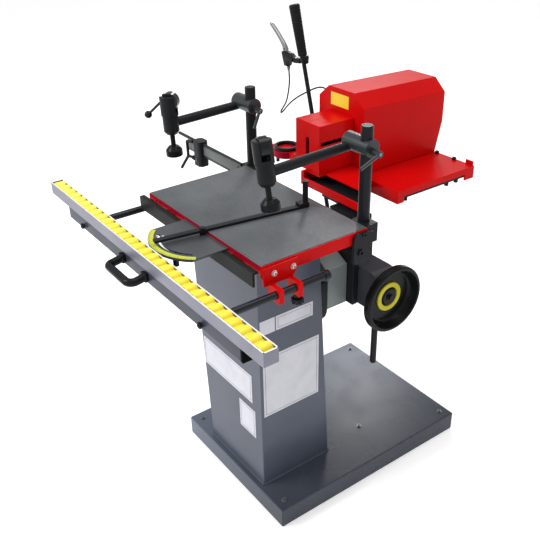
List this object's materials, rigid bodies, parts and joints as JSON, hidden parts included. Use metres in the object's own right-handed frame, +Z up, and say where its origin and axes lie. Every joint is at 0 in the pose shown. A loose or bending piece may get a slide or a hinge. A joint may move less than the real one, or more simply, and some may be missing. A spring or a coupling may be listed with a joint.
{
  "type": "slot mortiser",
  "caption": "Floor-standing slot mortiser: welded column, fixed table with clamps and a roller rail, and a lever-worked sliding motor head behind.",
  "frame": {"origin": "middle of the base, on the floor", "axes": "+X to the operator's right, +Y away from the operator, +Z up"},
  "size_m": [1.12, 1.0643, 1.2336],
  "materials": {
    "grey_paint": "textured slate grey paint",
    "red_paint": "gloss red paint",
    "table_steel": "ground steel",
    "black_iron": "satin black paint on cast iron",
    "black_steel": "blackened steel",
    "bare_steel": "bright turned steel",
    "rail_aluminium": "satin anodised",
    "yellow_plastic": "moulded yellow",
    "black_plastic": "moulded black",
    "black_rubber": "ribbed rubber",
    "wheel_iron": "gloss black enamel on cast iron",
    "motor_body": "die-cast, painted dark grey",
    "brake_alloy": "polished"
  },
  "bodies": {
    "frame": {"base_tray": "grey_paint", "column": "grey_paint", "way_plate": "black_iron", "way_block": "grey_paint", "table_frame": "red_paint", "table_top": "table_steel", "front_rail": "black_steel", "protractor_plate": "table_steel", "bracket_right": "red_paint", "bracket_left": "red_paint", "post_bracket_right": "black_iron", "post_bracket_left": "black_iron", "stop_rod": "bare_steel"},
    "fence": {"fence_bar": "black_steel"},
    "fence_lock": {"fence_lock": "black_plastic"},
    "rail_carriage": {"support_bar_right": "black_steel", "support_bar_left": "black_steel", "rail_beam": "rail_aluminium", "beam_plug": "black_plastic", "rail_channel": "rail_aluminium", "roller_strip": "yellow_plastic", "rail_handle": "black_plastic"},
    "star_right": {"star_knob_right": "black_plastic"},
    "star_left": {"star_knob_left": "black_plastic"},
    "post_right": {"clamp_post_right": "black_steel"},
    "post_left": {"clamp_post_left": "black_steel"},
    "arm_right": {"cross_head_right": "black_steel", "clamp_arm_right": "black_steel"},
    "arm_left": {"cross_head_left": "black_steel", "clamp_arm_left": "black_steel"},
    "cam_right": {"cam_lever_right": "black_steel"},
    "cam_left": {"cam_lever_left": "black_steel"},
    "plunger_right": {"plunger_right": "black_steel"},
    "plunger_left": {"plunger_left": "black_steel"},
    "ratchet_right": {"ratchet_right": "bare_steel"},
    "ratchet_left": {"ratchet_left": "bare_steel"},
    "stop_block": {"stop_block": "black_iron"},
    "stop_lever": {"stop_lever": "black_steel"},
    "lift": {"knee": "black_iron", "gear_case": "grey_paint", "x_way": "black_iron", "reaction_rail": "black_iron"},
    "wheel": {"handwheel": "wheel_iron", "wheel_ring": "yellow_plastic"},
    "screw": {"lift_screw": "black_steel"},
    "cross": {"cross_slide": "black_iron"},
    "head": {"tray_saddle": "black_iron", "motor_tray": "red_paint", "slide_rod": "black_steel", "chuck_guard": "red_paint", "motor_cover": "red_paint", "motor": "motor_body", "index_arm": "red_paint", "index_ring": "black_steel"},
    "chuck": {"chuck": "black_steel"},
    "lever": {"lever_shaft": "black_steel", "lever_grip": "black_rubber", "brake_mount": "black_plastic", "brake_cable": "black_rubber"},
    "brake_lever": {"brake_lever": "brake_alloy"}
  },
  "joints": [
    {"name": "fence_swing", "type": "hinge", "parent": "frame", "child": "fence", "pos_m": [0.034, -0.394, 0.834], "axis": [0, 0, 1], "range_deg": [-20, 28]},
    {"name": "fence_lock_turn", "type": "hinge", "parent": "frame", "child": "fence_lock", "pos_m": [0.0722, -0.4886, 0.81], "axis": [0, 0, 1], "range_deg": [-180, 180]},
    {"name": "rail_slide", "type": "slide", "parent": "frame", "child": "rail_carriage", "axis": [0, 1, 0], "range_m": [-0.06, 0]},
    {"name": "star_turn_right", "type": "hinge", "parent": "frame", "child": "star_right", "pos_m": [0.29, -0.315, 0.747], "axis": [0, 0, 1], "range_deg": [-180, 180]},
    {"name": "star_turn_left", "type": "hinge", "parent": "frame", "child": "star_left", "pos_m": [-0.282, -0.315, 0.747], "axis": [0, 0, 1], "range_deg": [-180, 180]},
    {"name": "post_swing_right", "type": "hinge", "parent": "frame", "child": "post_right", "pos_m": [0.22, -0.064, 0.9], "axis": [0, 0, 1], "range_deg": [-15, 15]},
    {"name": "post_swing_left", "type": "hinge", "parent": "frame", "child": "post_left", "pos_m": [-0.239, -0.064, 0.9], "axis": [0, 0, 1], "range_deg": [-15, 15]},
    {"name": "arm_height_right", "type": "slide", "parent": "post_right", "child": "arm_right", "axis": [0, 0, 1], "range_m": [-0.035, 0.02]},
    {"name": "arm_height_left", "type": "slide", "parent": "post_left", "child": "arm_left", "axis": [0, 0, 1], "range_m": [-0.035, 0.02]},
    {"name": "cam_turn_right", "type": "hinge", "parent": "arm_right", "child": "cam_right", "pos_m": [0.16279, -0.30858, 1.05692], "axis": [0.3387, 0.9375, 0.0804], "range_deg": [0, 68]},
    {"name": "cam_turn_left", "type": "hinge", "parent": "arm_left", "child": "cam_left", "pos_m": [-0.288, -0.28361, 1.04436], "axis": [-0.6428, 0.7655, 0.0267], "range_deg": [0, 68]},
    {"name": "plunger_slide_right", "type": "slide", "parent": "arm_right", "child": "plunger_right", "axis": [-0.1392, -0.0346, 0.9897], "range_m": [-0.0061, 0]},
    {"name": "plunger_slide_left", "type": "slide", "parent": "arm_left", "child": "plunger_left", "axis": [0, -0.0349, 0.9994], "range_m": [-0.0061, 0]},
    {"name": "ratchet_turn_right", "type": "hinge", "parent": "arm_right", "child": "ratchet_right", "pos_m": [0.253, -0.064, 1.0097], "axis": [1, 0, 0], "range_deg": [-30, 50]},
    {"name": "ratchet_turn_left", "type": "hinge", "parent": "arm_left", "child": "ratchet_left", "pos_m": [-0.206, -0.064, 0.9957], "axis": [1, 0, 0], "range_deg": [-70, 10]},
    {"name": "stop_block_slide", "type": "slide", "parent": "frame", "child": "stop_block", "axis": [1, 0, 0], "range_m": [-0.07, 0.15]},
    {"name": "stop_lever_turn", "type": "hinge", "parent": "stop_block", "child": "stop_lever", "pos_m": [-0.51, -0.094, 0.7782], "axis": [1, 0, 0], "range_deg": [0, 25]},
    {"name": "wheel_turn", "type": "hinge", "parent": "lift", "child": "wheel", "pos_m": [0.257, 0.012, 0.606], "axis": [1, 0, 0], "range_deg": [-716, 859]},
    {"name": "lift_slide", "type": "slide", "parent": "frame", "child": "lift", "axis": [0, 0, 1], "range_m": [-0.05, 0.06]},
    {"name": "screw_turn", "type": "hinge", "parent": "lift", "child": "screw", "pos_m": [0.197, 0.015, 0.45], "axis": [0, 0, 1], "range_deg": [-717, 860]},
    {"name": "cross_travel", "type": "slide", "parent": "lift", "child": "cross", "axis": [1, 0, 0], "range_m": [-0.03, 0.06]},
    {"name": "head_travel", "type": "slide", "parent": "cross", "child": "head", "axis": [0, 1, 0], "range_m": [-0.075, 0]},
    {"name": "chuck_spin", "type": "hinge", "parent": "head", "child": "chuck", "pos_m": [-0.112, 0.11, 0.902], "axis": [0, 1, 0], "continuous": true},
    {"name": "lever_swing", "type": "hinge", "parent": "head", "child": "lever", "pos_m": [-0.1835, 0.13, 0.821], "axis": [1, 0, 0], "range_deg": [-0.5, 16.5]},
    {"name": "brake_squeeze", "type": "hinge", "parent": "lever", "child": "brake_lever", "pos_m": [-0.3275, 0.13, 1.0973], "axis": [0, 1, 0], "range_deg": [0, 15], "stiffness_Nm_per_rad": 0.8, "springref_deg": -8.59}
  ],
  "couplings": [
    {"joint": "lift_slide", "follows": "wheel_turn", "m_per_rad": 0.004},
    {"joint": "screw_turn", "follows": "wheel_turn", "ratio": 1},
    {"joint": "plunger_slide_right", "follows": "cam_turn_right", "m_per_rad": -0.005},
    {"joint": "plunger_slide_left", "follows": "cam_turn_left", "m_per_rad": -0.005},
    {"joint": "lever_swing", "follows": "head_travel", "rad_per_m": -3.745}
  ]
}
